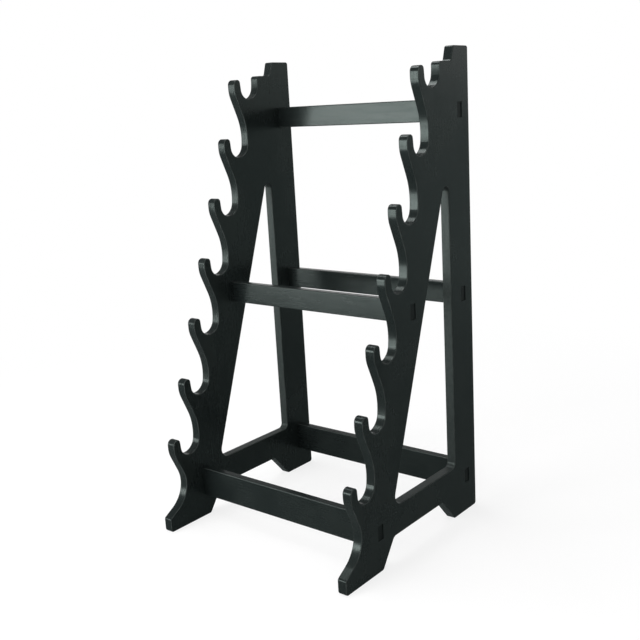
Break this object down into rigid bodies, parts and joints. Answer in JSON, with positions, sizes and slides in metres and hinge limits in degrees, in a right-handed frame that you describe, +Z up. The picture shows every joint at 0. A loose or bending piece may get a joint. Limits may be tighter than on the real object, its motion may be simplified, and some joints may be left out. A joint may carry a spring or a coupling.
{
  "type": "tiered sword stand",
  "caption": "Free-standing floor stand with notched side panels and tenoned cross rails that holds sheathed swords one above another on stepped hooks.",
  "frame": {"origin": "on the floor, at the middle of the stand's footprint", "axes": "+Z up, +X along the rails to the right as seen from the front, +Y towards the back; the hooks face -Y"},
  "size_m": [0.36, 0.342, 0.711],
  "materials": {
    "panel_lacquer": "satin black lacquer on board",
    "rail_lacquer": "satin black lacquer on solid wood"
  },
  "bodies": {
    "root": {"left_side_panel": "panel_lacquer", "right_side_panel": "panel_lacquer", "top_rail": "rail_lacquer", "middle_back_rail": "rail_lacquer", "middle_front_rail": "rail_lacquer", "bottom_back_rail": "rail_lacquer", "bottom_front_rail": "rail_lacquer"}
  },
  "joints": []
}
